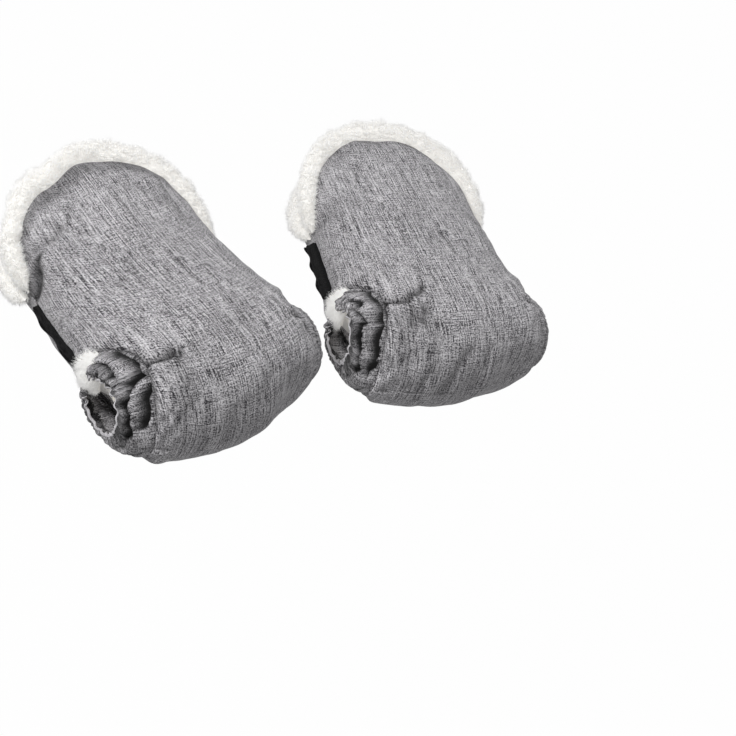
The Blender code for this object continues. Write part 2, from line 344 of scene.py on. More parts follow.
def melange(name, dark, light, shade):
    """Plain weave of grey and white yarns: matt, flecked along both its threads.

    Its threads are 0.4 mm apart. They are drawn 1.0 mm apart, and 0.8 mm on the collars, so that
    they show. Shade is painted into its tone: where the crease attribute lies between 0 and 1, in a
    fold, a seam or a hem, the tone is multiplied by the square of one less shade times it, and where
    it is below 0, on a crest, the tone is lightened, a painted highlight.
    """
    material, shader = new_material(name)
    cloth = add_node(material, "UVMap", uv_map="weave").outputs["UV"]
    # a fleck's size across the muff and along it, and its share of the tone
    flecks = (
        (0.0010, 0.0120, 0.32),
        (0.0080, 0.0010, 0.23),
        (0.0012, 0.0012, 0.55),
        (0.0010, 0.0700, 0.30),
        (0.0700, 0.0010, 0.15),
        (0.0300, 0.0400, 0.05),
    )
    total = 0.5 - sum(share for _, _, share in flecks) / 2
    for width, length, share in flecks:
        links = {"Vector": cloth, "Scale": (1 / width, 1 / length, 1)}
        stretched = add_node(material, "Mapping", links).outputs["Vector"]
        links = {"Vector": stretched, "Scale": 1.0, "Detail": 1.0}
        noise = add_node(material, "TexNoise", links).outputs["Fac"]
        links = {0: noise, 1: share, 2: total}
        total = add_node(material, "Math", links, operation="MULTIPLY_ADD").outputs[0]
    tone = add_node(material, "ValToRGB", {"Fac": total})
    low, high = tone.color_ramp.elements
    low.position, low.color = 0.39, hex_colour(dark)
    high.position, high.color = 0.64, hex_colour(light)
    # painted shade and painted highlight: the crease attribute scales the tone
    depth = add_node(material, "Attribute", attribute_name="crease").outputs["Fac"]
    links = {0: depth, 1: -shade, 2: 1.0}
    left = add_node(material, "Math", links, operation="MULTIPLY_ADD").outputs[0]
    left = add_node(material, "Math", {0: left, 1: 2.0}, operation="POWER").outputs[0]
    links = {"Vector": tone.outputs["Color"], "Scale": left}
    shaded = add_node(material, "VectorMath", links, operation="SCALE").outputs[0]
    bump = {"Height": total, "Strength": 0.6, "Distance": 0.0010}
    bump = add_node(material, "Bump", bump).outputs["Normal"]
    look = {"Base Color": shaded, "Normal": bump, "Roughness": 0.92}
    connect(material, shader, {**look, "Specular IOR Level": 0.2, "Sheen Weight": 0.1})
    return material


shell_cloth = melange("melange_polyester_weave", "#2F2D31", "#D3D1D4", 0.78)


def flat_places(grid):
    """Each point's place on the flat cloth: arc lengths from the middle column and the fold."""
    step = np.linalg.norm(np.diff(grid, axis=0), axis=-1)
    across = np.concatenate([np.zeros((1, grid.shape[1])), np.cumsum(step, axis=0)])
    step = np.linalg.norm(np.diff(grid, axis=1), axis=-1)
    along = np.concatenate([np.zeros((grid.shape[0], 1)), np.cumsum(step, axis=1)], axis=1)
    return np.stack([across - across[grid.shape[0] // 2], along], axis=-1)


def border_points(faces):
    """Points on the edges that only one face has."""
    edges = np.sort(np.stack([faces, np.roll(faces, -1, axis=1)], axis=-1).reshape(-1, 2), axis=1)
    edges, times = np.unique(edges, axis=0, return_counts=True)
    return np.unique(edges[times == 1])


billow_frames = 20
cloth_settings = dict(
    quality=5, mass=0.2, tension_stiffness=20, compression_stiffness=20, shear_stiffness=8,
    bending_stiffness=1.2, vertex_group_mass="seam", shrink_min=-0.035, use_pressure=True,
    uniform_pressure_force=1.2,
)


def billowed(points, faces, weave):
    """The sheet after a cloth simulation, held at its borders, and one round of subdivision.

    It is cut slightly too large and blown out gently, so that it swells and puckers between its
    seams. Returns its points, normals, faces and places on the flat cloth.
    """
    sheet = add_mesh("sheet", points, faces, None, weave)
    loops = np.empty(len(sheet.data.loops), dtype=int)
    sheet.data.loops.foreach_get("vertex_index", loops)
    seam = sheet.vertex_groups.new(name="seam")
    seam.add(border_points(loops.reshape(-1, 4)).tolist(), 1.0, "REPLACE")
    cloth = sheet.modifiers.new("cloth", "CLOTH")
    for key, value in cloth_settings.items():
        setattr(cloth.settings, key, value)
    cloth.settings.effector_weights.gravity = 0
    cloth.collision_settings.use_collision = False
    cloth.point_cache.frame_end = billow_frames
    for number in range(1, billow_frames + 1):
        bpy.context.scene.frame_set(number)
    finer = sheet.modifiers.new("finer", "SUBSURF")
    finer.levels = finer.render_levels = 1
    made = sheet.evaluated_get(bpy.context.evaluated_depsgraph_get())
    mesh = made.to_mesh()
    points, normals = np.empty((2, 3 * len(mesh.vertices)))
    loops, flat = np.empty(len(mesh.loops), dtype=int), np.empty(2 * len(mesh.loops))
    mesh.vertices.foreach_get("co", points)
    mesh.vertices.foreach_get("normal", normals)
    mesh.loops.foreach_get("vertex_index", loops)
    mesh.uv_layers["weave"].data.foreach_get("uv", flat)
    made.to_mesh_clear()
    bpy.data.objects.remove(sheet)
    bpy.context.scene.frame_set(1)
    weave = np.empty((len(points) // 3, 2))
    weave[loops] = flat.reshape(-1, 2)
    return points.reshape(-1, 3), normals.reshape(-1, 3), loops.reshape(-1, 4), weave


def crease_depths(across, up, rows):
    """Sum of grooves, each a hill of the distance to a swaying segment, and the shade painted in them.

    A ridge stands along both sides of each groove, a hill too, lower towards the groove's ends.
    """
    total, darkest = np.zeros_like(across), np.zeros_like(across)
    for row in rows:
        start_across, start_up, end_across, end_up, width, depth = np.array(row) / 1000
        run, rise = end_across - start_across, end_up - start_up
        length = math.hypot(run, rise)
        along = np.clip(((across - start_across) * run + (up - start_up) * rise) / length**2, 0, 1)
        sway = crease_sway * width * np.sin(crease_turns * math.pi * along)
        away_across = across - start_across - along * run
        away_up = up - start_up - along * rise - sway
        distance = np.hypot(away_across, away_up)
        groove = hill(distance, width)
        ridge = hill(distance - ridge_place * width, ridge_width * width)
        ridge = ridge * np.where(away_up > 0, ridge_above, ridge_below)
        total += depth * (ridge * np.sin(math.pi * along) ** 0.5 - groove)
        # painted shade: the deeper the groove, the darker its colour, up to darkest_depth
        darkest = np.maximum(darkest, groove * min(1, (depth / darkest_depth) ** 2))
    return total, np.clip(darkest, 0, 1)


def drawn_in(body, across, up, seed):
    """How far creases and the rolled mouth move the cloth outwards, and the shade painted in them and
    in a band along the hem.
    """
    folds, darkest = crease_depths(across, up, creases.get(body, ()))
    share = np.clip(across / half_width(up), -1, 1)
    roll = (1 - smooth_step((arch_height(share) - up) / mouth_roll_width)) * crown(share)
    roll = roll * (1 + 0.5 * ripple(np.stack([across, up], axis=-1), roll_wavelength, seed))
    # a band of painted shade along the mouth's hem, stronger on the left muff
    hem = 1 - smooth_step((arch_height(share) - up - hem_width / 2) / hem_width)
    hem = hem_painted_shade[body.split("_")[0]] * hem
    return folds - mouth_roll * roll, np.maximum(darkest, np.maximum(roll_painted_shade * roll, hem))


def thicken(piece):
    """Gives a cloth its thickness, inwards."""
    wall = piece.modifiers.new("cloth", "SOLIDIFY")
    wall.thickness = cloth_thickness
    wall.offset = -1


def add_shell(body, hand, half, seed):
    """A half's shell: its sheet, open at both outlets, blown out, creased and drawn in there."""
    grid = pouch_sheet(half, shell_inset, *shell_steps)
    weave = flat_places(grid)
    radius = np.hypot(grid[..., 1], grid[..., 2])
    inside = (radius < outlet_radius) & (np.abs(grid[..., 0]) > grip_half_width / 2)
    faces = grid_faces(*grid.shape[:2])
    faces = faces[~inside.ravel()[faces].all(axis=1)]
    if half == 1:
        faces = faces[:, ::-1]
    scale = np.where(inside, outlet_radius / np.maximum(radius, 0.001), 1)
    up, out = grid[..., 1] * scale, grid[..., 2] * scale
    reach = np.sign(grid[..., 0]) * side_reach(up, out, half, shell_inset)
    grid = np.stack([np.where(inside, reach, grid[..., 0]), up, out], axis=-1)
    points, normals, faces, weave = billowed(grid, faces, weave)
    across, up, out = points.T
    normals *= np.sign(normals[:, 2].sum() * half)
    lift, dark = drawn_in(body, across, up, seed)
    lift += swell * ripple(points[:, :2] * (1, 0.6), swell_wavelength, seed + 1)
    lift += wrinkle * ripple(points[:, :2], wrinkle_wavelength, seed + 2)
    at_side = np.abs(across) > grip_half_width / 2
    gap = np.where(at_side, np.hypot(up, out) - outlet_radius, 1)
    waver = 2.5 * ripple(points[:, :2], 0.04, seed + 3)
    pucker = np.cos(pucker_count * np.arctan2(out, up) + waver)
    lift += (lip_height + pucker_height * pucker) * hill(gap - lip_place, lip_width)
    seam = 1 - smooth_step(gap / seam_width)
    lift -= seam_depth * seam
    points = points + normals * (lift * smooth_step(np.abs(out) / side_hold))[:, None]
    # painted shade in the seam's groove
    dark = np.maximum(dark, seam_painted_shade * seam)
    piece = add_mesh(f"{body}_cloth", placed(points, hand), faces, shell_cloth, weave, dark)
    thicken(piece)
    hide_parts(f"{body}_shell")
    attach(piece, body)


for number, row in enumerate(bodies):
    add_shell(*row, 10 * number)


# Lambskin linings
# Each half is lined with a sheared lambskin, skin side out and wool side in. It is cut to the
# half's shape and sewn to the shell along the mouth, the side edges and the fold.

lining_start = 0.0038
lining_steps = (66, 22, 54)
skin_thickness = 0.0015
pile_depth, pile_sink_share = 0.01, 0.3
lining_lump, lump_wavelength = 0.0011, 0.012
outlet_sink, outlet_margin = 0.009, 0.012
lining_fibre, lining_fibres, lining_locks = 0.004, 12000, 1200
fibre_radius = 0.00026
fibre_tilt, own_share, lock_share, lock_pull = 0.7, 0.6, 0.4, 0.12
root_depth_share = 0.15


def unit(vectors):
    """Vectors divided by their lengths."""
    return vectors / (np.linalg.norm(vectors, axis=-1, keepdims=True) + 1e-12)


def grid_normals(grid, inside):
    """Unit cross products of a grid's two differences, turned to point away from inside."""
    normals = unit(np.cross(np.gradient(grid, axis=0), np.gradient(grid, axis=1)))
    away = np.sign(((grid - inside) * normals).sum(-1, keepdims=True))
    return normals * away


def halved(quads):
    """Each quad as two triangles."""
    return np.concatenate([quads[:, [0, 1, 2]], quads[:, [0, 2, 3]]])


def facing_out(points, faces):
    """A closed body's triangles, turned round where its signed volume is negative."""
    corners = points[faces]
    volume = (corners[:, 0] * np.cross(corners[:, 1], corners[:, 2])).sum()
    return faces if volume > 0 else faces[:, ::-1]


def closed_slab(top, bottom):
    """Points and triangles of the body between two grids of one shape, with its rim."""
    rows, columns = top.shape[:2]
    total = rows * columns
    quads = grid_faces(rows, columns)
    index = np.arange(total).reshape(rows, columns)
    rim = np.concatenate([index[:, 0], index[-1, 1:], index[-2::-1, -1], index[0, -2:0:-1]])
    after = np.roll(rim, -1)
    edge = np.stack([rim, after, after + total, rim + total], axis=-1)
    quads = np.concatenate([quads[:, ::-1], quads + total, edge])
    points = np.concatenate([top.reshape(-1, 3), bottom.reshape(-1, 3)])
    return points, facing_out(points, halved(quads))


def scatter(grid, normals, count, draw, weight=1.0):
    """Random points of a grid's cells, chosen by area times weight, and their mixed normals."""
    side, other = np.diff(grid, axis=0)[:, :-1], np.diff(grid, axis=1)[:-1]
    area = np.linalg.norm(np.cross(side, other), axis=-1)
    area = area * (weight * np.ones(grid.shape[:2]))[:-1, :-1]
    cells = draw.choice(area.size, count, p=(area / area.sum()).ravel())
    row, column = np.unravel_index(cells, area.shape)
    a, b = draw.uniform(size=(2, count, 1))
    mixed = []
    for field in (grid, normals):
        low = field[row, column] * (1 - a) + field[row + 1, column] * a
        high = field[row, column + 1] * (1 - a) + field[row + 1, column + 1] * a
        mixed.append(low * (1 - b) + high * b)
    return mixed[0], unit(mixed[1])


def wool_fibres(roots, normals, length, locks, draw):
    """Closed three-sided spikes: a base ring and a tip for each root.

    Fibres lie over in random directions. Each root belongs to the nearest of some chosen roots,
    and its fibre leans with that one and towards it, which parts the wool into soft locks.
    """
    count = len(roots)
    chosen = draw.choice(count, locks, replace=False)
    squares = [
        ((part[:, None, :] - roots[chosen][None]) ** 2).sum(-1)
        for part in np.array_split(roots, max(1, count // 1000))
    ]
    nearest = np.concatenate([part.argmin(1) for part in squares])
    spread = np.sqrt(np.concatenate([part.min(1) for part in squares]))[:, None]
    spread = np.clip(spread / (2.2 * spread.mean()), 0, 1)
    lean = unit(normals[chosen] + 0.5 * draw.normal(size=(locks, 3)))[nearest]
    own = unit(normals + fibre_tilt * draw.normal(size=(count, 3)))
    reach = length[:, None] * draw.uniform(0.7, 1.2, (count, 1)) * (1 - 0.25 * spread**2)
    pull = lock_pull * (roots[chosen][nearest] - roots)
    tip = roots + reach * (own_share * own + lock_share * lean) + pull
    side = unit(np.cross(own, draw.normal(size=(count, 3))))
    other = np.cross(own, side)
    low = roots - root_depth_share * reach * own
    rings = [
        low + fibre_radius * (math.cos(angle) * side + math.sin(angle) * other)
        for angle in np.arange(3) * 2 * math.pi / 3
    ]
    points = np.stack([*rings, tip], axis=1)
    spike = np.array([(2, 1, 0), (0, 1, 3), (1, 2, 3), (2, 0, 3)])
    faces = spike[None] + points.shape[1] * np.arange(count)[:, None, None]
    # depth 1 at a fibre's base and 0 at its tip, for the shade painted on the deep wool
    depth = np.tile([1.0, 1.0, 1.0, 0.0], count)
    return points.reshape(-1, 3), faces.reshape(-1, 3), depth


def woolly(core, roots, normals, length, locks, draw):
    """Points, triangles and depths of a closed body with wool standing on it."""
    points, faces, depth = wool_fibres(roots, normals, length, locks, draw)
    body = core[0].reshape(-1, 3)
    points = np.concatenate([body, points])
    faces = np.concatenate([core[1], faces + len(body)])
    # the core lies deepest, depth 1, and takes the most painted shade
    return points, faces, np.concatenate([np.ones(len(body)), depth])


def sheared_lambskin():
    """Merino wool, sheared and washed: ivory and matt, lit from behind through its fibres by
    subsurface light, with a painted glow, an emission, that stands in for light scattered within them.

    It is whitest at the tips of the fibres and darker and yellower near the skin, partly its own
    tone and partly painted shade of the deep wool.
    """
    material, shader = new_material("sheared_lambskin")
    place = add_node(material, "TexCoord").outputs["Object"]
    links = {"Vector": place, "Scale": 1 / 0.012, "Detail": 2.0}
    patches = add_node(material, "TexNoise", links).outputs["Fac"]
    # depth: 1 at the core and the fibres' bases, 0 at the tips; the deep wool is drawn darker, partly
    # painted shade
    depth = add_node(material, "Attribute", attribute_name="crease").outputs["Fac"]
    links = {0: patches, 1: -0.5, 2: depth}
    depth = add_node(material, "Math", links, operation="MULTIPLY_ADD").outputs[0]
    tone = add_node(material, "ValToRGB", {"Fac": depth})
    tip, root = tone.color_ramp.elements
    tip.position, tip.color = 0.0, hex_colour("#EFEEEC")
    root.position, root.color = 0.8, hex_colour("#DFDDD9")
    # Emission Color and Emission Strength give the wool a painted glow
    look = {
        "Base Color": tone.outputs["Color"],
        "Emission Color": tone.outputs["Color"],
        "Emission Strength": 0.26,
        "Roughness": 0.9,
        "Specular IOR Level": 0.2,
        "Subsurface Weight": 0.3,
        "Subsurface Radius": (1.0, 0.95, 0.88),
        "Subsurface Scale": 0.003,
        "Sheen Weight": 0.8,
        "Sheen Roughness": 0.4,
    }
    connect(material, shader, look)
    return material


lambskin = sheared_lambskin()


def add_lining(body, hand, half, seed):
    """A half's lining: a slab between two pouch sheets, with wool on the inner one."""
    draw = np.random.default_rng(seed)
    skin = pouch_sheet(half, lining_start, *lining_steps)
    pile = pouch_sheet(half, lining_start + pile_depth, *lining_steps)
    inward = -grid_normals(pile, (0, 0.05, 0))
    radius = np.hypot(skin[..., 1], skin[..., 2])
    at_side = np.abs(skin[..., 0]) > grip_half_width / 2
    from_hole = np.where(at_side, radius - passage_radius, 1)
    sink = -np.minimum(drawn_in(body, skin[..., 0], skin[..., 1], seed)[0], 0)
    beside = 1 - smooth_step((from_hole + passage_radius - outlet_radius) / outlet_margin)
    sink = (sink + outlet_sink * beside)[..., None]
    skin = skin + inward * sink
    lump = lining_lump * ripple(pile, lump_wavelength, seed)[..., None]
    pile = pile + inward * (pile_sink_share * sink + lump)
    rounded = np.sqrt(1 - (1 - np.clip(from_hole / pile_depth, 0, 1)) ** 2)[..., None]
    pile = skin + inward * skin_thickness / 2 + (pile - skin) * rounded
    points, faces = closed_slab(skin, pile)
    hole = np.tile(from_hole.ravel() < 0, 2)
    faces = faces[~hole[faces].all(axis=1)]
    # fewer fibres towards the fold, and none on the outlet's edge
    fullness = np.clip((pile[..., 1] + 0.03) / 0.12, 0.25, 1) * (from_hole > 0.004)
    roots, normals = scatter(pile, inward, lining_fibres, draw, fullness)
    length = np.full(lining_fibres, lining_fibre)
    core = points, faces
    points, faces, depth = woolly(core, roots, normals, length, lining_locks, draw)
    piece = add_mesh(f"{body}_lambskin", placed(points, hand), faces, lambskin, crease=depth)
    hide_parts(f"{body}_lining")
    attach(piece, body)


for number, row in enumerate(bodies):
    add_lining(*row, 10 * number)


# Gathered collars
# A strip of the same cloth is sewn into each outlet and drawn up to about half its length on
# elastic. It stands in deep uneven folds, and is open towards the mouth, where the tapes begin.

ends = {"outer": 1, "inner": -1}
collar_opening = math.radians(24.0)
collar_edge_radius = passage_radius + 0.0008
collar_rings, collar_steps = 44, 240
half_gap = 0.0002
# on the sides that face left and right: how far the edge stands out, how deep the folds are, and
# how far the collar hangs below the passage
collar_stand = {-1: 0.007, 1: 0.002}
fold_depths = {-1: 0.01, 1: 0.005}
collar_sag = {-1: 0.007, 1: 0.0}
# what is left of the even folds where a collar has creases of its own
even_share = 0.3
joint_angle = 0.2
roll_count, roll_drift = 3.2, 0.7
frill_count, frill_out, frill_along = 9.5, 0.0011, 0.0014
crumple, crumple_wavelength = 0.0013, 0.008
belly_height = 0.003
# the strip laid flat: its width, and its length for each radian in creases and in the weave
strip_width, crease_reach, weave_reach = 0.034, 0.03, 0.038
collar_weave_scale = 1.25
# shade painted over all of a collar, and how far the painted highlight on its crests may go
collar_painted_shade, painted_highlight_limit = 0.12, -0.4

# the same cloth as the shells, with stronger painted shade in its folds
collar_cloth = melange("gathered_polyester_weave", "#2B292D", "#D9D7DA", 0.95)


def edge_frill(angle, seed):
    """How far the elastic edge wavers outwards and along the passage, as sines of the angle."""
    start, tilt = np.random.default_rng(seed).uniform(0, 2 * math.pi, 2)
    phase = 2 * frill_count * angle + 2.5 * np.sin(2.3 * angle + start)
    flat = smooth_step((math.pi - angle) / joint_angle)
    size = (0.6 + 0.4 * np.sin(3.1 * angle + tilt)) + 0.8 * hill(angle - collar_opening, 0.5)
    outwards = frill_out * (1 + np.sin(phase)) * size * flat
    along = frill_along * np.sin(phase + 1.2) * size * flat
    return outwards, along


def add_collar(body, hand, half, end, seed):
    """Half a collar: rings from the seam to the elastic edge, moved by uneven folds.

    The radius falls as a power of a ring's share. A fold is the root of a sine of that share,
    whose phase drifts and wanders round the passage. Creases and a fine ripple come on top.
    """
    draw = np.random.default_rng(seed)
    facing = ends[end] * hand
    angle = np.linspace(collar_opening, math.pi, collar_steps + 1)[:, None]
    inward = np.linspace(0, 1, collar_rings + 1)[None, :]
    start, tilt, turn, swing = draw.uniform(0, 2 * math.pi, 4)
    run = (angle - collar_opening) / (math.pi - collar_opening)
    wander = 0.16 * np.sin(4.6 * angle + start) + 0.08 * np.sin(9.7 * angle + tilt)
    drift = roll_drift * run + 0.10 * np.sin(11 * inward + turn)
    phase = math.pi * (roll_count * inward + 0.15 + wander + drift)
    size = 0.72 + 0.28 * np.sin(4.3 * angle + 5 * inward + swing)
    valley = (1 - np.abs(np.sin(phase)) ** 0.5) * size
    between = np.sin(math.pi * inward**0.8) ** 0.7
    joins = smooth_step((math.pi - angle) / joint_angle)
    rows = creases.get(f"{body}_{end}", ())
    share = even_share if rows else 1
    sink = fold_depths[facing] * share * valley * between * joins
    crest = np.abs(np.sin(phase)) ** 3 * between * joins
    shown = np.clip(inward - 0.05 * np.sin(2 * phase) * size * between * joins, 0, 1)
    outwards, along = edge_frill(angle, seed)
    near_edge = smooth_step((inward - 0.35) / 0.6)
    seam_radius = outlet_radius + 0.0004
    radius = seam_radius - (seam_radius - collar_edge_radius) * shown**1.25
    hang = collar_sag[facing] * hill(angle - math.pi, 0.75) * np.sin(math.pi * inward**0.7)
    radius = radius - 0.35 * sink * np.sin(math.pi * inward) + near_edge * outwards + hang
    seam_up, seam_out = outlet_radius * np.cos(angle), outlet_radius * np.sin(angle)
    seat = side_reach(seam_up, seam_out, half, 0) - seam_depth
    rise = smooth_step(1.3 * shown) ** 0.8
    belly = belly_height * np.sin(math.pi * np.clip(1.1 * shown, 0, 1))
    face = grip_half_width + collar_stand[facing] - 0.001
    place = seat + (face - seat) * rise + belly * (1 - rise) - 0.8 * sink
    place = place + near_edge * (along - 0.9 * outwards)
    flat = np.stack([crease_reach * angle + 0 * inward, strip_width * inward + 0 * angle], -1)
    folds, darkest = crease_depths(flat[..., 0], flat[..., 1], rows)
    crumples = crumple * np.abs(ripple(flat, crumple_wavelength, seed))
    place = place + (folds - crumples) * between * joins
    up, out = radius * np.cos(angle), radius * np.sin(angle) + half_gap
    shape = np.stack([facing * place, up, half * out], axis=-1)
    step = np.linalg.norm(np.diff(shape, axis=1), axis=-1)
    along = np.concatenate([0 * angle, np.cumsum(step, axis=1)], axis=1)
    weave = collar_weave_scale * np.stack([weave_reach * angle + 0 * inward, along], axis=-1)
    # painted shade in the folds and creases, at the seam, in the frill's valleys and over all the
    # collar; painted highlight on the crests
    dark = 1.2 * (valley * between) ** 1.1 * share + 1.4 * darkest
    dark = dark * joins + 0.9 * (1 - smooth_step(inward / 0.10)) - 0.15 * crest
    dark = dark + 0.6 * near_edge * (1 - outwards / 0.0018) + collar_painted_shade
    faces = grid_faces(*shape.shape[:2])
    if facing * half == 1:
        faces = faces[:, ::-1]
    dark = np.clip(dark, painted_highlight_limit, 1)
    piece = add_mesh(f"{body}_{end}_gathers", placed(shape, hand), faces, collar_cloth, weave, dark)
    thicken(piece)
    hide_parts(f"{body}_{end}_collar")
    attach(piece, body)


outlets = [
    (*row, end, 10 * number + order)
    for number, row in enumerate(bodies)
    for order, end in enumerate(ends)
]

for row in outlets:
    add_collar(*row)


# Elastic bindings
# A narrow knitted elastic binds each collar's edge. Relaxed, it draws the edge in, and the small
# puckers of the cloth show along it.

binding_radius = 0.0012
binding_steps, binding_sides = 200, 10
closing_angle = 0.06


def knitted_elastic():
    """Elastic covered in textured polyester: light grey, matt, with fine ribs across it."""
    material, shader = new_material("knitted_elastic")
    cloth = add_node(material, "UVMap", uv_map="weave").outputs["UV"]
    ribs = {"Vector": cloth, "Scale": 1 / 0.0018, "Distortion": 1.5, "Detail": 1.0}
    ribs = add_node(material, "TexWave", ribs, bands_direction="X")
    tone = add_node(material, "ValToRGB", {"Fac": ribs.outputs["Fac"]})
    low, high = tone.color_ramp.elements
    low.position, low.color = 0.1, hex_colour("#908E92")
    high.position, high.color = 0.9, hex_colour("#E8E6E9")
    bump = {"Height": ribs.outputs["Fac"], "Strength": 0.5, "Distance": 0.0004}
    bump = add_node(material, "Bump", bump).outputs["Normal"]
    look = {"Base Color": tone.outputs["Color"], "Normal": bump, "Roughness": 0.85}
    connect(material, shader, look)
    return material


elastic = knitted_elastic()


def carried_tube(path, side, other, radius, sides):
    """Circle carried along a path: its radius times a cosine and a sine of two directions."""
    angle = np.linspace(0, 2 * math.pi, sides + 1)[None, :, None]
    ring = np.cos(angle) * side[:, None, :] + np.sin(angle) * other[:, None, :]
    return path[:, None, :] + np.reshape(radius, (-1, 1, 1)) * ring


def add_binding(body, hand, half, end, seed):
    """Half a collar's binding: a tube along its frilled edge, its radius a root at the opening."""
    facing = ends[end] * hand
    angle = np.linspace(collar_opening, math.pi, binding_steps + 1)
    outwards, waver = edge_frill(angle, seed)
    ring = collar_edge_radius + 0.7 * binding_radius + outwards
    away = np.stack([0 * angle, np.cos(angle), half * np.sin(angle)], axis=-1)
    bore = np.array([facing, 0, 0]) + 0 * away
    place = grip_half_width + collar_stand[facing] - 0.0006 + waver - 0.9 * outwards
    path = away * ring[:, None] + bore * place[:, None]
    path[:, 2] += half * half_gap
    closing = np.sqrt(np.clip((angle - collar_opening) / closing_angle, 0.02, 1))
    tube = carried_tube(path, away, bore, binding_radius * closing, binding_sides)
    length = collar_edge_radius * angle[:, None] + np.zeros((1, binding_sides + 1))
    around = np.linspace(0, 2 * math.pi * binding_radius, binding_sides + 1) + 0 * length
    weave = np.stack([length, around], axis=-1)
    faces = grid_faces(*tube.shape[:2])
    if facing * half == -1:
        faces = faces[:, ::-1]
    piece = add_mesh(f"{body}_{end}_elastic", placed(tube, hand), faces, elastic, weave)
    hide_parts(f"{body}_{end}_binding")
    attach(piece, body)


for row in outlets:
    add_binding(*row)


# Hook and loop tapes
# Black nylon tape closes each side above its outlet: stiff hooks on the front half, brushed
# loops on the back half, each strip sewn on along both edges.

tape_width = 0.012
tape_thickness = 0.0016
tape_low, tape_high = 0.045, 0.109
# how far a tape lies in from the shell's side: deeper only where the left muff faces left
tape_tuck = {-1: 0.007, 1: 0.002}
tape_droop = 0.004
tape_wander, wander_wavelength = 0.001, 0.03
tape_crumple, tape_crumple_wavelength = 0.0012, 0.014


def nylon_tape(name, colour, hooks):
    """Black nylon, woven with stiff hooks that glint a little, or with matt brushed loops.

    The hooks stand 1.2 mm apart and are drawn 1.5 mm apart, so that they show.
    """
    material, shader = new_material(name)
    place = add_node(material, "TexCoord").outputs["Object"]
    if hooks:
        grain = {"Vector": place, "Scale": 1 / 0.0015, "Randomness": 0.35}
        height = add_node(material, "TexVoronoi", grain).outputs["Distance"]
    else:
        grain = {"Vector": place, "Scale": 1 / 0.0012, "Detail": 3.0, "Roughness": 0.7}
        height = add_node(material, "TexNoise", grain).outputs["Fac"]
    tone = add_node(material, "ValToRGB", {"Fac": height})
    low, high = tone.color_ramp.elements
    low.position, low.color = 0.2, hex_colour(colour)
    high.position, high.color = 0.9, hex_colour("#121213")
    bump = {"Height": height, "Strength": 0.9, "Distance": 0.0008}
    bump = add_node(material, "Bump", bump).outputs["Normal"]
    look = {"Base Color": tone.outputs["Color"], "Normal": bump, "Specular IOR Level": 0.1}
    connect(material, shader, {**look, "Roughness": 0.55 if hooks else 0.8})
    return material


tapes = {
    "front": ("hook", nylon_tape("nylon_hook_tape", "#0A0A0B", True)),
    "back": ("loop", nylon_tape("nylon_loop_tape", "#0C0C0D", False)),
}


def add_tape(body, hand, half, end, seed):
    """A strip: a thin slab with rounded ends, its outer edge crumpled and drooping."""
    prefix, side = body.split("_")
    kind, material = tapes[side]
    along = np.linspace(-1, 1, 81)[:, None]
    across = np.linspace(-1, 1, 15)[None, :]
    rounding = (1 - np.abs(along) ** 16) ** (1 / 8)
    up = (tape_low + tape_high) / 2 + (tape_high - tape_low) / 2 * along + 0 * across
    facing = ends[end] * hand
    tuck = tape_tuck[hand if facing == -1 else 1]
    place = half_width(up) - tuck + tape_width / 2 * (1 + across * rounding)
    outside = smooth_step((across + 0.2) / 0.9)
    wander = ripple(up[..., None], wander_wavelength, seed)
    place = place + tape_wander * outside * wander
    flat = np.stack([place, up], axis=-1) * (0.6, 1)
    crumples = np.abs(ripple(flat, tape_crumple_wavelength, seed + 1))
    near = half_gap + tape_crumple * outside * crumples * (half == 1)
    far = near + tape_thickness * (1 - 0.45 * np.abs(across) ** 6)
    droop = -tape_droop * outside**2
    slab = [np.stack([facing * place, up, half * layer + droop], -1) for layer in (near, far)]
    points, faces = closed_slab(*slab)
    piece = add_mesh(f"{prefix}_{end}_{kind}_strip", placed(points, hand), faces, material)
    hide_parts(f"{prefix}_{end}_{kind}_tape")
    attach(piece, body)


for number, row in enumerate(bodies):
    for order, end in enumerate(ends):
        add_tape(*row, end, 10 * number + 2 * order)


# Wool round the mouths
# The lambskin is cut longer than the shell at the mouth, and its wool rolls out over the edge in
# a thick soft ring, thinner towards the side seams.

wool_out = {1: 0.0076, -1: 0.004}
wool_height = 0.024
wool_end_share = 0.42
wool_end_drop = 0.003
wool_above = 0.0005
wool_blown = {-1: 0.009, 1: 0.014}
core_reach, core_height = 0.0088, 0.01
core_steps, core_sides = 90, 26
mouth_lump, mouth_lump_wavelength = 0.001, 0.013
mouth_fibre, mouth_fibres, mouth_locks = 0.005, 32000, 1300


def mouth_roll_core(hand, half, steps, sides):
    """Ellipse carried along the arched edge, just outside it, smaller towards the corners.

    It is blown wider and further out, in proportion to the way from the left corner.
    """
    share = across_shares(steps)
    edge = pouch_sheet(half, 0, steps, 2, 2)[:, -1]
    along = np.gradient(edge[:, :2], axis=0)
    along[0], along[-1] = (0, 1), (0, -1)
    along = unit(along)
    outward = np.stack([-along[:, 1], along[:, 0], 0 * share], axis=-1)
    size = wool_end_share + (1 - wool_end_share) * crown(share)
    top = crown(share) * (mouth_depth + wool_above) + (1 - crown(share)) * wool_height * size
    height = top - wool_height / 2 * size
    middle = np.column_stack([edge[:, :2], half * height])
    blown = wool_blown[hand] * (share + 1.0) * crown(share) ** 2
    middle = middle + outward * (wool_out[half] * size + blown / 2)[:, None]
    middle[:, 1] -= wool_end_drop * (1 - crown(share))
    upward = np.zeros_like(outward) + (0, 0, half)
    closing = np.sqrt(np.clip(np.sin(np.linspace(0, math.pi, steps + 1)) / 0.12, 0.0001, 1))
    wide = outward * ((core_reach + blown / 2) / core_height)[:, None]
    shape = (middle, wide, upward, core_height * size * closing)
    return carried_tube(*shape, sides), middle


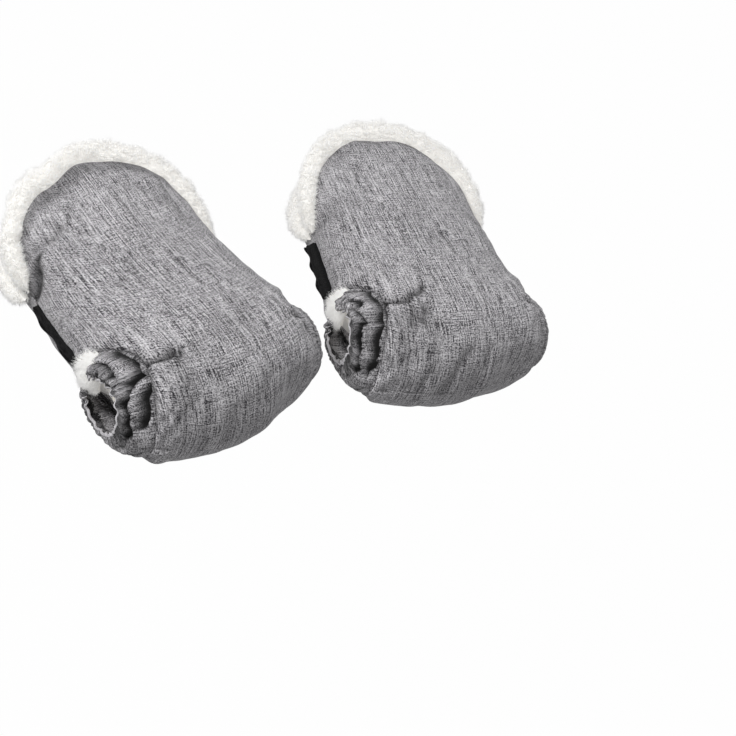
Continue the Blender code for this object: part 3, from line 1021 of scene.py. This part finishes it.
def add_mouth_wool(body, hand, half, seed):
    """A half's mouth wool: a lumpy roll along the edge, with fibres all round it."""
    draw = np.random.default_rng(seed)
    roll, middle = mouth_roll_core(hand, half, core_steps, core_sides)
    outward = grid_normals(roll, middle[:, None, :])
    roll = roll + outward * (mouth_lump * ripple(roll, mouth_lump_wavelength, seed))[..., None]
    roll[:, -1] = roll[:, 0]
    core = roll, facing_out(roll.reshape(-1, 3), halved(grid_faces(*roll.shape[:2])))
    roots, normals = scatter(roll, outward, mouth_fibres, draw)
    length = mouth_fibre * (1 + 0.22 * ripple(roots, 0.020, seed + 3))
    points, faces, depth = woolly(core, roots, normals, length, mouth_locks, draw)
    piece = add_mesh(f"{body}_mouth_wool", placed(points, hand), faces, lambskin, crease=depth)
    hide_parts(f"{body}_cuff_wool")
    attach(piece, body)


for number, row in enumerate(bodies):
    add_mouth_wool(*row, 10 * number)


# Wool in the outlets
# Where each collar is open, the lambskin's edge lies free and its wool stands out in a tuft
# between the tape and the passage.

tuft_opening = collar_opening + math.radians(4.0)
tuft_rise, tuft_thickness = 0.006, 0.002
tuft_fibre, tuft_fibres, tuft_locks = 0.007, 6500, 200


def add_tuft(prefix, hand, end, seed):
    """A tuft: a slab domed by the root of a sine and a cosine, with fibres."""
    draw = np.random.default_rng(seed)
    angle = np.linspace(-tuft_opening, tuft_opening, 25)[:, None]
    inward = np.linspace(0, 1, 17)[None, :]
    widest = outlet_radius + 0.004
    radius = widest - (widest - passage_radius - 0.001) * inward
    up, out = radius * np.cos(angle), radius * np.sin(angle)
    low = side_reach(np.minimum(up, outlet_radius), out, -1, lining_start)
    dome = np.sin(math.pi * inward) * np.cos(math.pi / 2 * angle / tuft_opening)
    dome = np.sqrt(dome.clip(0))
    toward = ends[end] * hand
    top = np.stack([toward * (low + tuft_rise * dome), up, out], axis=-1)
    bottom = np.stack([toward * (low - tuft_thickness), up, out], axis=-1)
    heart = np.array([toward * (grip_half_width - 0.020), (outlet_radius + passage_radius) / 2, 0])
    outward = grid_normals(top, heart)
    aim = unit(outward + 0.7 * unit(top - heart))
    roots, normals = scatter(top, aim, tuft_fibres, draw)
    length = tuft_fibre * (1 + 0.25 * ripple(roots, 0.014, seed))
    core = closed_slab(top, bottom)
    points, faces, depth = woolly(core, roots, normals, length, tuft_locks, draw)
    piece = add_mesh(f"{prefix}_{end}_tuft", placed(points, hand), faces, lambskin, crease=depth)
    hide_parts(f"{prefix}_{end}_outlet_wool")
    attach(piece, f"{prefix}_back")


for prefix, hand in hands.items():
    for number, end in enumerate(ends):
        add_tuft(prefix, hand, end, 10 * hand + number + 20)


# Floor
# A flat board painted white lies well below the muffs, and is not part of them. It shows white
# to the eye, with a trace of their shadow.

floor_height = -0.62
floor_size = 12.0
white_share = 0.985
floor_tone = "#C4C4C4"


def seen_directly(owner):
    """1 for rays from the camera, a reflection or a transmission, and 0 for rays of light."""
    rays = add_node(owner, "LightPath").outputs
    links = {0: rays["Is Camera Ray"], 1: rays["Is Glossy Ray"]}
    seen = add_node(owner, "Math", links, operation="MAXIMUM").outputs[0]
    links = {0: seen, 1: rays["Is Transmission Ray"]}
    return add_node(owner, "Math", links, operation="MAXIMUM").outputs[0]


def white_paint(name):
    """Flat white paint, white to the camera and diffuse to the lamps."""
    material, shader = new_material(name)
    connect(material, shader, {"Base Color": hex_colour(floor_tone), "Roughness": 0.9})
    links = {0: seen_directly(material), 1: white_share}
    share = add_node(material, "Math", links, operation="MULTIPLY").outputs[0]
    glow = add_node(material, "Emission", {"Strength": 1.0}).outputs[0]
    mix = add_node(material, "MixShader", {0: share, 1: shader.outputs[0], 2: glow})
    connect(material, material.node_tree.nodes["Material Output"], {"Surface": mix.outputs[0]})
    return material


corner = floor_size / 2
floor_mesh = bpy.data.meshes.new("floor")
plan = ((-corner, -corner), (corner, -corner), (corner, corner), (-corner, corner))
floor_mesh.from_pydata([(x, y, floor_height) for x, y in plan], [], [(0, 1, 2, 3)])
floor_mesh.materials.append(white_paint("white_floor_paint"))
floor = bpy.data.objects.new("floor", floor_mesh)
bpy.context.scene.collection.objects.link(floor)


# Studio light and camera
# A white room gives even light, and two soft lamps the shading: a strong one on the left and a
# weak one on the right. The camera stands where the photograph was taken from.

room_light = 0.42

room = bpy.data.worlds.new("white_room")
bpy.context.scene.world = room
room.use_nodes = True
links = {0: seen_directly(room), 1: 1 - room_light, 2: room_light}
strength = add_node(room, "Math", links, operation="MULTIPLY_ADD").outputs[0]
background = room.node_tree.nodes["Background"]
connect(room, background, {"Color": (1, 1, 1, 1), "Strength": strength})


def add_lamp(name, place, size, power):
    """A round soft lamp that faces the middle of the muffs."""
    lamp = bpy.data.lights.new(name, "AREA")
    lamp.shape = "DISK"
    lamp.size = size
    lamp.energy = power
    stand = bpy.data.objects.new(name, lamp)
    stand.location = place
    aim = Vector((0, 0.06, 0)) - Vector(place)
    stand.rotation_euler = aim.to_track_quat("-Z", "Y").to_euler()
    bpy.context.scene.collection.objects.link(stand)


add_lamp("key_light", (-1.30, 0.25, 1.45), 0.8, 27)
add_lamp("fill_light", (0.90, 0.50, 1.50), 1.4, 8)

lens = bpy.data.cameras.new("camera")
lens.lens = 75.3
lens.sensor_width = 36.0
lens.clip_start, lens.clip_end = 0.05, 50
camera = bpy.data.objects.new("camera", lens)
rightward = (0.8192, -0.4501, 0.3553)
upward = (0.1421, 0.7597, 0.6346)
backward = (-0.5556, -0.4694, 0.6863)
turned = Matrix((rightward, upward, backward)).transposed().to_4x4()
camera.matrix_world = Matrix.Translation((-0.7097, -0.6603, 0.9098)) @ turned
bpy.context.scene.collection.objects.link(camera)
bpy.context.scene.camera = camera
bpy.context.scene.view_settings.view_transform = "Standard"
